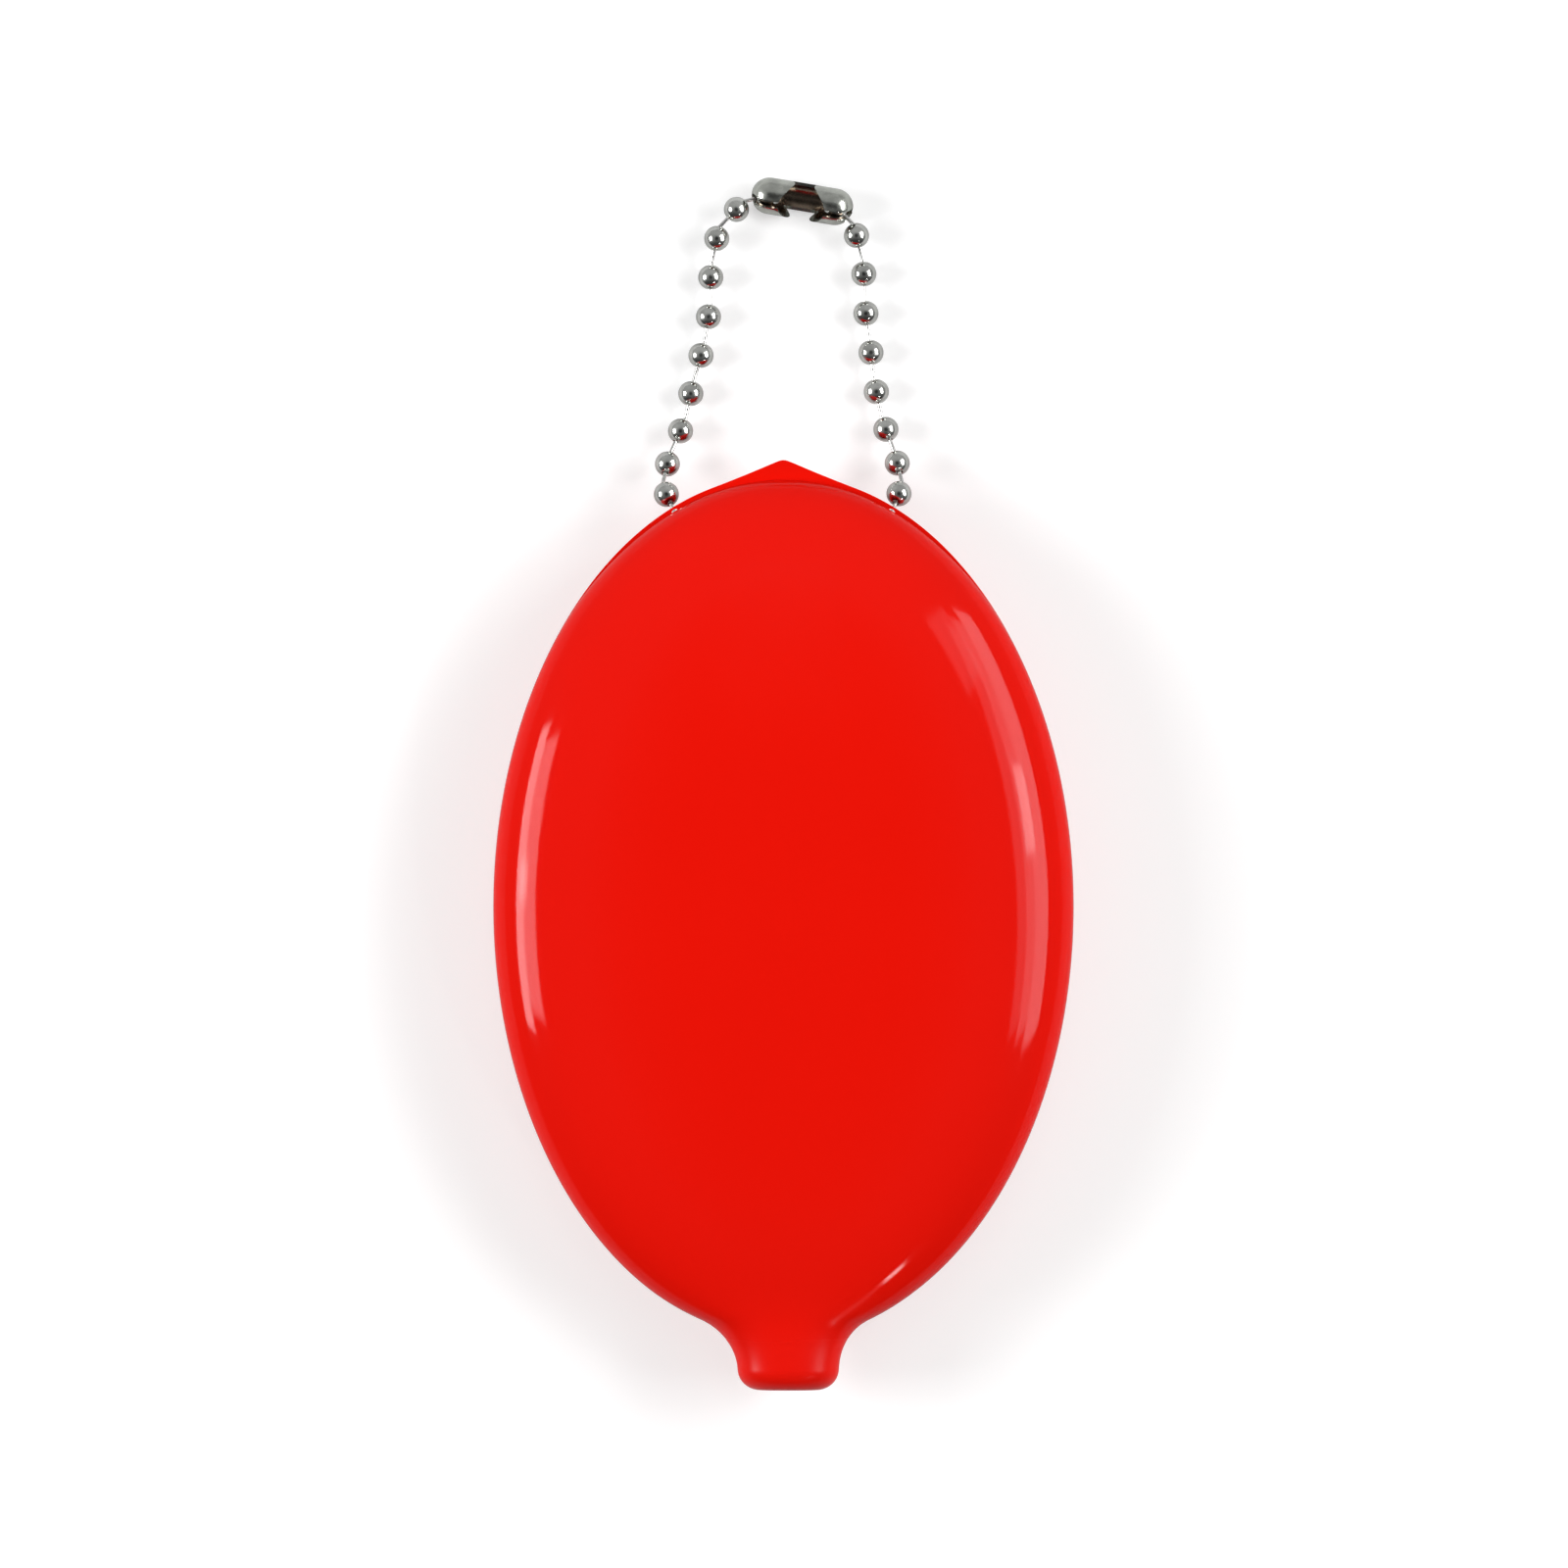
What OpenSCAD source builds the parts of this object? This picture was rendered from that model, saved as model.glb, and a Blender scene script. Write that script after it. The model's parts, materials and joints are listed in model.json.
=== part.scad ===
// Squeeze coin purse: an oval vinyl pouch, slit down its back, on a closed loop of ball chain.
// Lengths are in millimetres. X runs across the pouch, Y along it towards the chain, and Z up from
// the plane that the back of the purse lies on. The origin is under the middle of the oval.

/* [Pouch] */
// Width of the oval
pouch_w = 55; // [48:0.5:62]
// Length of the oval, without neck and peak
pouch_l = 81.8; // [76:0.1:90]
// Height of the front dome over the parting plane
front_h = 7.5; // [6.5:0.1:9]
// Depth of the back dome under the parting plane
back_h = 7.9; // [7:0.1:9]
// Depth of the flat on the back that the purse lies on
flat_cut = 0.4; // [0.2:0.05:0.8]
// Thickness of the vinyl
wall = 1.8; // [1.4:0.1:2.2]
// Fullness of both domes: 2 is an ellipse, more is squarer
fullness = 2.3; // [2:0.05:2.6]

/* [Peak] */
// Height of the peak over the top of the oval
peak_rise = 1.75; // [1:0.05:2.5]
// Thickness of the peak at its root
peak_t = 2.2; // [1.6:0.1:3]
// Hollow of the peak's flanks: 1 is straight
peak_hollow = 1.15; // [1.02:0.01:1.3]
// How far the front dome stops short of the back rim under the peak
front_short = 0.5; // [0.2:0.05:1]

/* [Neck] */
// Width of the neck
neck_w = 9.6; // [8:0.1:11]
// Thickness of the neck
neck_t = 7.6; // [7:0.1:9]
// How far the neck stands out past the oval
neck_l = 4.9; // [4:0.1:7]
// Wall of the neck around its bore
neck_wall = 2.6; // [2:0.1:2.9]
// Width at which the neck's flare leaves the oval
flare_w = 16; // [14.5:0.1:20]
// Rounding of the neck's rim
rim_round = 2; // [1:0.1:2.5]
// How far the neck sits to the right of the middle
neck_shift = 0.45; // [0:0.05:1]

/* [Slit and lips] */
// Length of the slit
slit_l = 66; // [56:0.5:68]
// Gap between the closed lips
slit_gap = 0.1; // [0.05:0.01:0.3]
// Width of a lip, from the slit to the line it bends about
lip_w = 17; // [14:0.1:19]
// Width of a lip at the ends of the slit
lip_end_w = 8; // [6:0.1:10]
// Gap between a lip and the rest of the wall
lip_gap = 0.15; // [0.1:0.01:0.3]

/* [Ball chain] */
// Diameter of a bead
bead_d = 2.4; // [2.2:0.05:2.6]
// Sheet thickness of a bead
bead_wall = 0.15; // [0.1:0.01:0.2]
// Distance between bead centres
pitch = 3.76; // [3.6:0.01:3.9]
// How much closer the beads beside the coupling are pushed
top_slack = 0.3; // [0.2:0.01:0.36]
// Diameter of the hole at each pole of a bead
pole_d = 0.6; // [0.56:0.01:0.64]
// Diameter of a link's pin
pin_d = 0.36; // [0.3:0.01:0.4]
// Diameter of the head on each end of a link
head_d = 0.66; // [0.65:0.01:0.7]
// How deep a head hangs behind the pole of its bead
head_depth = 0.58; // [0.56:0.01:0.6]

/* [Chain holes] */
// Distance between the places where the chain bends in its two holes
hole_gap = 20.3; // [19.6:0.1:21]
// Diameter of each hole
hole_d = 3; // [2.8:0.1:3.6]
// How far the holes lie under the parting plane
hole_drop = 1.1; // [0.6:0.1:2]
// How far outside the wall's inner face the chain bends
hole_out = 1; // [0.6:0.1:1.4]

/* [Coupling] */
// Length of the coupling
coupling_l = 9.8; // [9:0.1:11]
// Outside diameter of the coupling
coupling_d = 3.5; // [3.4:0.05:3.8]
// Sheet thickness of the coupling
coupling_wall = 0.28; // [0.2:0.01:0.32]
// Width of the slot that a link slides along
slot_w = 0.7; // [0.5:0.05:0.9]
// Diameter of the round outlet at each end, where the link comes to rest
outlet_d = 1.3; // [1.2:0.05:1.5]
// Length of the window that a bead goes in by
window_l = 4.6; // [3.4:0.1:5]
// Turn of the window from straight up towards the pouch
window_turn = 30; // [20:1:60]

/* [Hidden] */
$fn = 48;
EPS = 0.01;

// The pouch
oval_a = pouch_w / 2;
oval_b = pouch_l / 2;
parting_z = back_h - flat_cut;
cavity_a = oval_a - wall;
cavity_b = oval_b - wall;
peak_y = oval_b + peak_rise;
neck_y = -oval_b - neck_l;
bore_a = neck_w / 2 - neck_wall;
bore_h = neck_t / 2 - neck_wall;
rim_land = 0.5;
// Rounding of the peak's tip, and how far from it the last section lies
tip_round = 0.35;
tip_end = 0.02;
neck_from = 30;
shift_from = -36;
shift_over = 8;
blend_power = 6;
// Where the front dome begins to stop short of the back rim, and over what length
short_from = 24;
short_over = 12;
// How the lips narrow towards the ends of the slit, and where their edge columns run past them
lip_power = 2.5;
edge_share = 0.6;
punch_l = 5.4;

// Steps of the pouch's surface: along the neck, the slit and the top, and around the front,
// the rim beside a lip and the lip itself
NECK_STEPS = 11;
SLIT_STEPS = 22;
TOP_STEPS = 9;
FRONT_STEPS = 20;
EDGE_STEPS = 5;
LIP_STEPS = 5;

// The chain. Beads and links are counted from the left end in the coupling, down the left strand,
// through the pouch and up the right strand.
BEADS = 26;
LINKS = BEADS - 1;
ROWS = 8;
HALF_INNER = 3;
bead_r = bead_d / 2;
table_gap = 0.05;
bead_z = bead_r + table_gap;
coupling_r = coupling_d / 2;
coupling_z = coupling_r + table_gap;
// Distance from a bead's centre to the middle of the wall of its holes, where its links pivot
function wall_depth(r) = sqrt(r * r - pole_d * pole_d / 4);
pole_depth = (wall_depth(bead_r) + wall_depth(bead_r - bead_wall)) / 2;
// Slope of each strand towards the middle, link by link from its hole, in degrees. The last ones
// are those of the bead beside the coupling on the left and of the bead in it on the right.
left_lean = [-24, 13, 24, 12, 16, 9, 1, 12, 44];
right_lean = [-20, 13, 20, 12, 6, 8, 1, 15, 45];
// Share of the way down from the holes to the table that each row of beads has come, and share of
// the way up again to the coupling
row_fall = [0.34, 0.79, 1, 1, 1, 1, 1, 1];
row_rise = [0, 0, 0, 0, 0, 0, 0.3, 1];
row_lift = 0.2;
row_top_z = coupling_z + row_lift;
coupling_play = 0.1;
// How much of the coupling's radius the window cuts behind its axis
window_depth = 0.5;
window_side = 0.2;

VINYL = [0.9, 0.06, 0.03];
STEEL = [0.75, 0.75, 0.76];

function two_digits(k) = k < 10 ? str("0", k) : str(k);
function bead_name(k) = str("bead_", two_digits(k));
function link_name(k) = str("link_", two_digits(k));

// Outline of the pouch

function unit(v) = v / norm(v);
function clamp01(t) = max(0, min(1, t));
function smooth(t) = let (u = clamp01(t)) u * u * (3 - 2 * u);
function soft_max(a, b) = pow(pow(a, blend_power) + pow(b, blend_power), 1 / blend_power);

// Half width of an oval with half axes a and b
function oval_x(y, a, b) = abs(y) < b ? a * sqrt(1 - y * y / (b * b)) : 0;

// Height of a dome over its half axis b, as a share of its height in the middle
function dome(t) = t < 1 ? pow(1 - pow(t, fullness), 1 / fullness) : 0;

// Half width of the oval and of a neck n wide, with an arc between them that leaves the oval
// where it is f wide and is tangent to both
function flared_x(y, a, b, n, f) =
    let (
        leave = [f, -b * sqrt(1 - f * f / (a * a))],
        out = unit([leave.x / (a * a), leave.y / (b * b)]),
        r = (f - n) / (1 - out.x),
        mid = leave + r * out
    )
    y > leave.y ? oval_x(y, a, b)
    : y > mid.y ? n + r - sqrt(r * r - pow(y - mid.y, 2))
    : n;

// Way from y to the point of the peak, shortened near it so that the tip is round
function tip_way(y) = sqrt(max(0, pow(peak_y - y, 2) - tip_round * tip_round));

// Half width of the back under the peak, whose flanks are tangent to the oval
function peak_x(y) =
    let (
        q = peak_hollow,
        from = (sqrt(peak_y * peak_y + 4 * (q - 1) * q * oval_b * oval_b) - peak_y) / (2 * (q - 1))
    )
    y < from ? oval_x(y, oval_a, oval_b)
    : oval_x(from, oval_a, oval_b) * pow(tip_way(y) / tip_way(from), q);

// The neck's rim is a quarter round from its side to a narrow land around the bore
function rim(y, side, bore) =
    let (t = clamp01((neck_y + rim_round - y) / rim_round), land = bore + rim_land)
    land + (side - land) * sqrt(1 - t * t);

function outer_x(y) =
    y > 0 ? peak_x(y)
    : rim(y, flared_x(y, oval_a, oval_b, neck_w / 2, flare_w / 2), bore_a);
function inner_x(y) =
    y > 0 ? oval_x(y, cavity_a, cavity_b)
    : flared_x(y, cavity_a, cavity_b, bore_a, flare_w / 2 - neck_wall);

// Share of the neck's height at y, which grows from the middle of the oval
function neck_share(y) = smooth(-y / neck_from);
function outer_h(y, h) =
    rim(y, soft_max(h * dome(-y / oval_b), neck_share(y) * neck_t / 2), bore_h);
function front_end(y) = oval_b - front_short * smooth((y - short_from) / short_over);
function front_z(y) = y > 0 ? front_h * dome(y / front_end(y)) : outer_h(y, front_h);
function back_z(y) =
    y > 0
    ? soft_max(back_h * dome(y / oval_b), peak_t * (1 - clamp01((y - oval_b) / peak_rise) / 2))
    : outer_h(y, back_h);
function cavity_z(y, h) =
    let (c = (h - wall) * dome(abs(y) / cavity_b))
    y > 0 ? c : soft_max(c, neck_share(y) * bore_h);
function front_reach(y) = y > 0 ? oval_x(y, oval_a, front_end(y)) : outer_x(y);
function middle_x(y) = neck_shift * smooth((shift_from - y) / shift_over);

// Half width of the window in the back that the lips fill
function lip_x(y) = lip_w - (lip_w - lip_end_w) * pow(abs(y) / (slit_l / 2), lip_power);

// Points of the pouch's surfaces, at x across and y along
function dome_at(x, w) = w > 0 ? dome(abs(x) / w) : 0;
function outer_front(x, y) =
    [x + middle_x(y), y, parting_z + front_z(y) * dome_at(x, front_reach(y))];
function outer_back(x, y) =
    [x + middle_x(y), y, max(0, parting_z - back_z(y) * dome_at(x, outer_x(y)))];
function inner_front(x, y) =
    [x + middle_x(y), y, parting_z + cavity_z(y, front_h) * dome_at(x, inner_x(y))];
function inner_back(x, y) =
    [x + middle_x(y), y, parting_z - cavity_z(y, back_h) * dome_at(x, inner_x(y))];

// Places across the back, from the left rim to the right one, with the window's edges and the
// slit's among them. The steps between them are even turns of the section's angle.
function edge_turns(w, edge) =
    let (a = acos(clamp01(edge / w)), b = acos(clamp01(slit_gap / 2 / w)))
    concat(
        [for (k = [0:EDGE_STEPS - 1]) a * k / EDGE_STEPS],
        [for (k = [0:LIP_STEPS]) a + (b - a) * k / LIP_STEPS]
    );
function back_places(w, edge) =
    let (left = [for (t = edge_turns(w, edge)) -w * cos(t)])
    concat(left, [for (k = [len(left) - 1:-1:0]) -left[k]]);
function ring_edge(y, w) = abs(y) <= slit_l / 2 ? lip_x(y) : min(lip_end_w, w * edge_share);

function outer_ring(y) =
    let (w = outer_x(y), back = back_places(w, ring_edge(y, w)))
    concat(
        [for (k = [0:FRONT_STEPS - 1]) outer_front(w * cos(180 * k / FRONT_STEPS), y)],
        [for (k = [0:len(back) - 2]) outer_back(back[k], y)]
    );
function inner_ring(y) =
    let (w = inner_x(y), back = back_places(w, ring_edge(y, w)))
    concat(
        [for (k = [0:FRONT_STEPS - 1]) inner_front(w * cos(180 * k / FRONT_STEPS), y)],
        [for (k = [0:len(back) - 2]) inner_back(back[k], y)]
    );

// Stations along the pouch. They crowd towards the neck's rim and the top.
function lower_stations() =
    [for (k = [0:NECK_STEPS - 1]) neck_y + (-slit_l / 2 - neck_y) * (1 - cos(90 * k / NECK_STEPS))];
function slit_stations() = [for (k = [0:SLIT_STEPS]) slit_l * (k / SLIT_STEPS - 0.5)];
function upper_stations(end) =
    [for (k = [1:TOP_STEPS]) slit_l / 2 + (end - slit_l / 2) * sin(90 * k / TOP_STEPS)];
function stations(end) = concat(lower_stations(), slit_stations(), upper_stations(end));

module front_shell() {
    outer_y = stations(peak_y - tip_round - tip_end);
    inner_y = stations(cavity_b - EPS);
    n = len(outer_y) - 1;
    m = FRONT_STEPS + 2 * (EDGE_STEPS + LIP_STEPS) + 1;
    // Rows and columns between which the window lies
    i1 = NECK_STEPS;
    i2 = NECK_STEPS + SLIT_STEPS;
    j1 = FRONT_STEPS + EDGE_STEPS;
    j2 = m - EDGE_STEPS;
    inner = (n + 1) * m;
    outer_tip = 2 * inner;
    inner_tip = outer_tip + 1;
    points = concat(
        [for (y = outer_y) each outer_ring(y)],
        [for (y = inner_y) each inner_ring(y)],
        [outer_back(0, outer_y[n]) + [0, 0, back_z(outer_y[n]) / 2]],
        [[0, inner_y[n], parting_z]]
    );
    skins = [
        for (i = [0:n - 1], j = [0:m - 1]) if (i < i1 || i >= i2 || j < j1 || j >= j2)
            let (a = i * m + j, b = i * m + (j + 1) % m, c = b + m, d = a + m)
            each [
                [a, b, c], [a, c, d],
                [inner + a, inner + c, inner + b], [inner + a, inner + d, inner + c]
            ]
    ];
    ends = [
        for (j = [0:m - 1])
            let (a = j, b = (j + 1) % m, c = n * m + j, d = n * m + (j + 1) % m)
            each [
                [a, inner + a, b], [b, inner + a, inner + b],
                [c, d, outer_tip], [inner + d, inner + c, inner_tip]
            ]
    ];
    window_ends = [
        for (j = [j1:j2 - 1])
            let (a = i1 * m + j, b = a + 1, c = i2 * m + j, d = c + 1)
            each [
                [a, b, inner + b], [a, inner + b, inner + a],
                [d, c, inner + d], [inner + d, c, inner + c]
            ]
    ];
    window_sides = [
        for (i = [i1:i2 - 1])
            let (a = i * m + j1, b = a + m, c = i * m + j2, d = c + m)
            each [
                [a, inner + a, inner + b], [a, inner + b, b],
                [inner + c, c, inner + d], [inner + d, c, d]
            ]
    ];
    color(VINYL) difference() {
        polyhedron(points, concat(skins, ends, window_ends, window_sides));
        for (side = [-1, 1]) chain_hole(side);
    }
}

// A punched hole, along the way that the chain turns through it
module chain_hole(side) {
    k = side < 0 ? left_hole_bead : right_hole_bead;
    way = unit(side * (axes[k] + axes[k + side]));
    along(centres[k], way) cylinder(h = punch_l, d = hole_d, center = true);
}

// Lines that the lips bend about, on the outer face at the window's widest
hinge_z = parting_z - back_z(0) * dome_at(lip_w, outer_x(0));

// Half width of the slit at height z, so that no point of a lip's edge, as it swings round the line
// that the lip bends about, comes nearer to the middle than half the gap
function slit_x(z) =
    lip_w - sqrt(pow(lip_w - slit_gap / 2, 2) - pow(max(0, z - hinge_z), 2));

// One lip of the slit, side -1 on the left and 1 on the right
module lip(side) {
    ends = slit_l / 2 - lip_gap;
    ys = [for (y = slit_stations()) max(-ends, min(ends, y))];
    n = len(ys) - 1;
    m = LIP_STEPS + 1;
    inner = (n + 1) * m;
    function across(y, w, z) =
        let (
            a = acos(clamp01((lip_x(y) - lip_gap) / w)),
            b = acos(clamp01(slit_x(z) / w)),
            left = [for (k = [0:LIP_STEPS]) -w * cos(a + (b - a) * k / LIP_STEPS)]
        )
        side < 0 ? left : [for (k = [LIP_STEPS:-1:0]) -left[k]];
    points = concat(
        [for (y = ys) for (x = across(y, outer_x(y), outer_back(0, y).z)) outer_back(x, y)],
        [for (y = ys) for (x = across(y, inner_x(y), inner_back(0, y).z)) inner_back(x, y)]
    );
    skins = [
        for (i = [0:n - 1], j = [0:m - 2])
            let (a = i * m + j, b = a + 1, c = b + m, d = a + m)
            each [
                [a, b, c], [a, c, d],
                [inner + a, inner + c, inner + b], [inner + a, inner + d, inner + c]
            ]
    ];
    lip_ends = [
        for (j = [0:m - 2])
            let (a = j, b = a + 1, c = n * m + j, d = c + 1)
            each [
                [b, a, inner + b], [inner + b, a, inner + a],
                [c, d, inner + d], [c, inner + d, inner + c]
            ]
    ];
    lip_sides = [
        for (i = [0:n - 1])
            let (a = i * m, b = a + m, c = i * m + m - 1, d = c + m)
            each [
                [inner + a, a, inner + b], [inner + b, a, b],
                [c, inner + c, inner + d], [c, inner + d, d]
            ]
    ];
    color(VINYL) polyhedron(points, concat(skins, lip_ends, lip_sides));
}

// Course of the chain. A link stands straight on the bead before it, counted from the middle of
// the pouch, and bends at the pole of the next one, so that each strand is a run of chords.

hole_z = parting_z - hole_drop;
hole_x = hole_gap / 2;

// Turn between neighbouring chords inside the pouch, for a run that spans the two holes
function inner_span(turn) =
    pole_depth + pitch * (cos(turn) + cos(2 * turn) + cos(HALF_INNER * turn));
function span_turn(low, high, n) =
    let (mid = (low + high) / 2)
    n == 0 ? mid : inner_span(mid) > hole_x ? span_turn(mid, high, n - 1) : span_turn(low, mid, n - 1);
inner_turn = span_turn(0, 90 / HALF_INNER, 30);

// Far ends of the chords on one side inside the pouch, from the middle outwards
inner_sag = pitch * (sin(inner_turn) + sin(2 * inner_turn) + sin(HALF_INNER * inner_turn));
hole_y = cavity_b * sqrt(1 - pow(hole_x / cavity_a, 2)) + hole_out;
function inner_ends(side, at, k = 1) =
    k > HALF_INNER ? []
    : let (next = at + pitch * [side * cos(k * inner_turn), sin(k * inner_turn), 0])
      concat([next], inner_ends(side, next, k + 1));
function first_end(side) = [side * pole_depth, hole_y - inner_sag, hole_z];

// Height of each row outside
row_z = [
    for (k = [0:ROWS - 1])
        hole_z + (bead_z - hole_z) * row_fall[k] + (row_top_z - bead_z) * row_rise[k]
];

// A chord's step of the given length, leaning towards the middle in the plan
function plan_length(dz, length) = sqrt(length * length - dz * dz);
function step(side, lean, dz, length) =
    let (s = plan_length(dz, length))
    [-side * s * sin(lean), s * cos(lean), dz];
function strand(side, lean, at, k = 0) =
    k == ROWS ? []
    : let (next = at + step(side, lean[k], row_z[k] - at.z, pitch))
      concat([next], strand(side, lean, next, k + 1));

left_inner = inner_ends(-1, first_end(-1));
right_inner = inner_ends(1, first_end(1));
left_strand = strand(-1, left_lean, left_inner[HALF_INNER - 1]);
right_strand = strand(1, right_lean, right_inner[HALF_INNER - 1]);

// The top closes as a four-bar chain: the bead beside the coupling on the left, the two beads in
// the coupling, and the last chord of the right strand
top_pitch = pitch - top_slack;
left_top = left_strand[ROWS - 1] + step(-1, left_lean[ROWS], 0, top_pitch);
right_pocket = right_strand[ROWS - 1]
    + step(1, right_lean[ROWS], coupling_z - row_top_z, top_pitch - pole_depth);
pocket_gap = coupling_l - coupling_d + 2 * coupling_play;
left_reach = plan_length(coupling_z - row_top_z, top_pitch - pole_depth);
left_pocket =
    let (
        flat = [right_pocket.x - left_top.x, right_pocket.y - left_top.y],
        d = norm(flat),
        u = flat / d,
        a = (d * d + left_reach * left_reach - pocket_gap * pocket_gap) / (2 * d),
        h = sqrt(left_reach * left_reach - a * a)
    )
    [left_top.x + u.x * a - u.y * h, left_top.y + u.y * a + u.x * h, coupling_z];

// Ends of all chords but the middle one, outwards on each side, and the way each chord runs
left_ends = concat([first_end(-1)], left_inner, left_strand, [left_top]);
right_ends = concat([first_end(1)], right_inner, right_strand);
left_ways = [for (k = [1:len(left_ends) - 1]) unit(left_ends[k] - left_ends[k - 1])];
right_ways = [for (k = [1:len(right_ends) - 1]) unit(right_ends[k] - right_ends[k - 1])];

// All centres and axes in the chain's order. The first entry of each list is unused, so that bead
// k has place k.
centres = concat(
    [[0, 0, 0], left_pocket],
    [for (k = [len(left_ways) - 1:-1:0]) left_ends[k + 1] - pole_depth * left_ways[k]],
    [first_end(1) - [pole_depth, 0, 0]],
    [for (k = [0:len(right_ways) - 1]) right_ends[k + 1] - pole_depth * right_ways[k]],
    [right_pocket]
);
axes = concat(
    [[0, 0, 0], unit(left_top - left_pocket)],
    [for (k = [len(left_ways) - 1:-1:0]) -left_ways[k]],
    [[1, 0, 0]],
    right_ways,
    [unit(right_pocket - right_strand[ROWS - 1])]
);
left_hole_bead = ROWS + 3;
right_hole_bead = left_hole_bead + 2 * HALF_INNER;

// Pole of bead k on the side of the link before (-1) or after it (1)
function pole(k, side) = centres[k] + side * pole_depth * axes[k];

module along(at, way) {
    translate(at) rotate([0, acos(way.z), atan2(way.y, way.x)]) children();
}

// A bead: a hollow ball with a hole at each pole
module bead(k) {
    color(STEEL) along(centres[k], axes[k]) difference() {
        sphere(r = bead_r);
        sphere(r = bead_r - bead_wall);
        cylinder(h = bead_d + 2 * EPS, d = pole_d, center = true);
    }
}

// A link: a pin through the facing poles of two beads, with a round head inside each
module link(k) {
    from = pole(k, 1);
    to = pole(k + 1, -1);
    length = norm(to - from) + 2 * head_depth;
    color(STEEL) along(from, unit(to - from)) translate([0, 0, -head_depth]) {
        cylinder(h = length, d = pin_d);
        sphere(d = head_d);
        translate([0, 0, length]) sphere(d = head_d);
    }
}

// The coupling: a rolled sheet tube with domed ends. It has a window that a bead goes in by, a slot
// from end to end for the links, and a round outlet where the link to each of its beads leaves it.
module coupling() {
    way = unit(right_pocket - left_pocket);
    up = [way.y * sin(window_turn), -way.x * sin(window_turn), cos(window_turn)];
    color(STEEL) difference() {
        translate((left_pocket + right_pocket) / 2)
            rotate([0, 0, atan2(way.y, way.x)])
            rotate([window_turn, 0, 0])
            difference() {
                rotate([0, 90, 0]) rotate_extrude() difference() {
                    half_capsule(coupling_r);
                    half_capsule(coupling_r - coupling_wall);
                }
                window();
                slot();
            }
        link_outlet(1, unit(pole(2, -1) - left_pocket), -way, up);
        link_outlet(BEADS, unit(pole(LINKS, 1) - right_pocket), way, up);
    }
}
// Half of a bar with round ends, cut lengthwise
module half_capsule(r) {
    straight = coupling_l - coupling_d;
    intersection() {
        union() {
            for (side = [-1, 1]) translate([0, side * straight / 2]) circle(r);
            square([2 * r, straight], center = true);
        }
        translate([0, -coupling_l / 2]) square([coupling_l, coupling_l]);
    }
}
// The window's outline is a lens, between two arcs that meet on the slot
module window() {
    side = coupling_r + window_side;
    r = (pow(window_l / 2, 2) + side * side) / (2 * side);
    translate([0, 0, -window_depth * coupling_r]) linear_extrude(2 * coupling_d)
        intersection() {
            translate([0, r - side]) circle(r);
            translate([0, side - r]) circle(r);
        }
}
module slot() {
    translate([-coupling_l, -slot_w / 2, -slot_w / 2]) cube([2 * coupling_l, slot_w, coupling_d]);
}

// The outlet of the link that leaves bead k the given way, near the coupling's end, and a passage
// to it from the slot, which faces up, at the same slant
module link_outlet(k, leave, end, up) {
    cut = unit(leave * end * end + sqrt(1 - pow(leave * end, 2)) * up);
    n = unit(cross(leave, cut));
    side = cross(n, leave);
    along(centres[k], leave) cylinder(h = coupling_d, d = outlet_d);
    translate(centres[k])
        multmatrix([
            [leave.x, side.x, n.x, 0], [leave.y, side.y, n.y, 0], [leave.z, side.z, n.z, 0],
            [0, 0, 0, 1]
        ])
        linear_extrude(slot_w, center = true)
        polygon(coupling_d * [[0, 0], [1, 0], [cut * leave, cut * side]]);
}

front_shell();
lip(-1);  // left_lip
lip(1);  // right_lip
coupling();
for (k = [1:BEADS]) bead(k);
for (k = [1:LINKS]) link(k);
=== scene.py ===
"""An oval squeeze purse of red vinyl on a loop of ball chain, lying on its slit back.

Formulas work in millimetres, in the frame of the solids: X across the pouch, Y towards the chain,
Z up. Meshes are stored in metres.
"""

import json
import math

import bpy
import numpy as np
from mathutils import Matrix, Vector


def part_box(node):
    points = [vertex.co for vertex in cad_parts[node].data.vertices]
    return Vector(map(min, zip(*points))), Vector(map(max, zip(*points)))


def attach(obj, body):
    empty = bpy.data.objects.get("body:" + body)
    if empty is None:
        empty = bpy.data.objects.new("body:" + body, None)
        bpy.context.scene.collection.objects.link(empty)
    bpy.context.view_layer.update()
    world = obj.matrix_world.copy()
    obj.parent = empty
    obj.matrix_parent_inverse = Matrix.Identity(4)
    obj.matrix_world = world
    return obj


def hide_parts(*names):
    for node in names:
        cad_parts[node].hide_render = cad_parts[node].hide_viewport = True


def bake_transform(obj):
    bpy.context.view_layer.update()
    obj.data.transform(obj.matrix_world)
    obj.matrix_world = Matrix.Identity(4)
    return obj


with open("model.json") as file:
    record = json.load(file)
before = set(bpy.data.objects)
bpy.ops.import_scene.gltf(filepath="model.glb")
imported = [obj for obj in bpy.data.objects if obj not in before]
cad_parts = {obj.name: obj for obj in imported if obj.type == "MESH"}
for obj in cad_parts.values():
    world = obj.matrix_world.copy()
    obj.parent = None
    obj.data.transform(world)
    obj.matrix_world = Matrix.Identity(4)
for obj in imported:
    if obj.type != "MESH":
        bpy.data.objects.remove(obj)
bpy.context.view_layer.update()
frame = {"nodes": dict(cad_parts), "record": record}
MM = 0.001

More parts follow.
